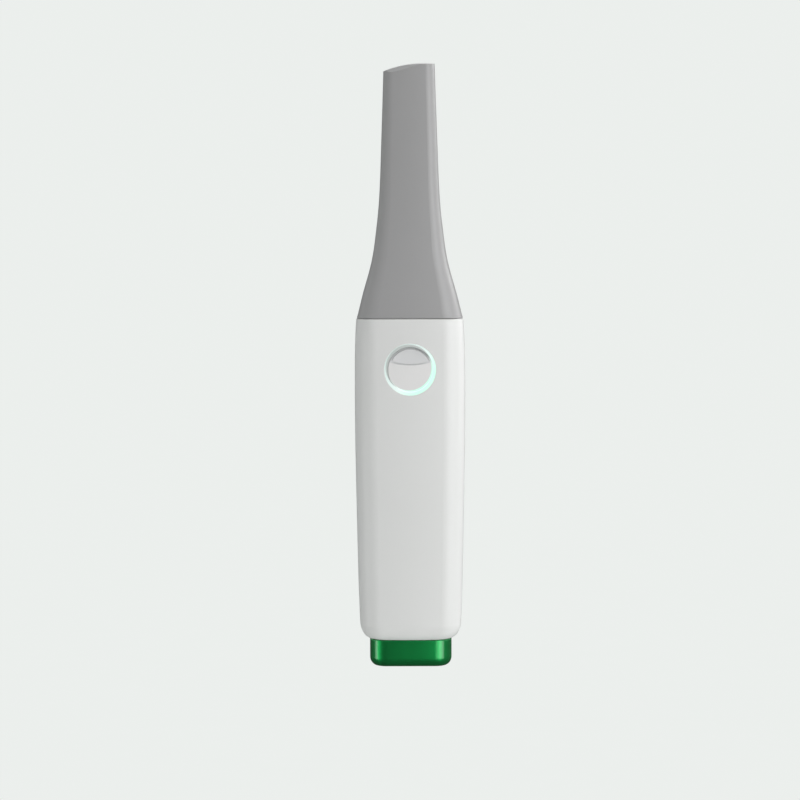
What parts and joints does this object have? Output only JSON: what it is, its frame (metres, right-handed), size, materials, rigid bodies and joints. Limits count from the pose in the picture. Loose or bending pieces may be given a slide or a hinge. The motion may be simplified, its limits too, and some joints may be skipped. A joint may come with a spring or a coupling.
{
  "type": "intraoral scanner",
  "caption": "Wireless intraoral scanner: a rounded white handle, a removable tapered tip sleeve with a mirror, a lit push button and a pull-out battery with a green metal cap.",
  "frame": {"origin": "centre of the end cap's flat bottom face", "axes": "+Z along the scanner, from the end cap to the scan tip; the button faces -Y and the scan window faces +Y"},
  "size_m": [0.0422, 0.038, 0.2289],
  "materials": {
    "body_white": "satin",
    "sleeve_grey": "satin",
    "button_white": "gloss",
    "ring_glow": "translucent, lit",
    "cap_green": "green anodised",
    "dark_plastic": "moulded",
    "nose_grey": "moulded",
    "screw_steel": "plated",
    "contact_gold": "gold plated",
    "board_green": "solder mask",
    "switch_metal": "tinned",
    "lamp_white": "clear",
    "chip_black": "moulded",
    "bare_aluminium": "machined",
    "socket_plastic": "moulded",
    "seal_rubber": "matte",
    "optic_glass": "polished",
    "barrel_black": "black anodised",
    "mirror_glass": "polished",
    "pack_black": "moulded",
    "ribbon_amber": "film"
  },
  "bodies": {
    "handle": {"front_shell": "body_white", "rear_shell": "body_white", "light_ring": "ring_glow", "inner_frame": "dark_plastic", "frame_screws": "screw_steel", "contact_block": "dark_plastic", "contact_pins": "contact_gold", "button_board": "board_green", "tact_switch": "switch_metal", "ring_lamps": "lamp_white", "button_screws": "screw_steel", "main_board": "board_green", "main_board_screws": "screw_steel", "processor": "chip_black", "heat_spreader": "bare_aluminium", "radio_module": "switch_metal", "board_connectors": "socket_plastic", "nose_housing": "nose_grey", "nose_screws": "screw_steel", "nose_seal": "seal_rubber", "nose_glass": "optic_glass", "glass_gasket": "seal_rubber", "optics_carrier": "bare_aluminium", "camera_board": "board_green", "camera_barrel": "barrel_black", "camera_lenses": "optic_glass", "image_sensor": "chip_black", "projector_board": "board_green", "projector_barrel": "barrel_black", "projector_lenses": "optic_glass", "light_engine": "chip_black", "heat_sink": "bare_aluminium", "optics_sockets": "socket_plastic", "camera_ribbon": "ribbon_amber", "projector_ribbon": "ribbon_amber"},
    "tip": {"tip_sleeve": "sleeve_grey", "tip_mirror": "mirror_glass"},
    "scan_button": {"scan_button": "button_white", "switch_plunger": "socket_plastic"},
    "battery": {"battery_pack": "pack_black", "pack_seal": "seal_rubber", "battery_pads": "contact_gold", "end_cap": "cap_green"}
  },
  "joints": [
    {"name": "tip_slide", "type": "slide", "parent": "handle", "child": "tip", "axis": [0, 0, 1], "range_m": [0, 0.066]},
    {"name": "button_press", "type": "slide", "parent": "handle", "child": "scan_button", "axis": [0, 1, 0], "range_m": [0, 0.0008], "stiffness_N_per_m": 600, "springref_m": -0.0005},
    {"name": "battery_slide", "type": "slide", "parent": "handle", "child": "battery", "axis": [0, 0, -1], "range_m": [0, 0.072]}
  ]
}
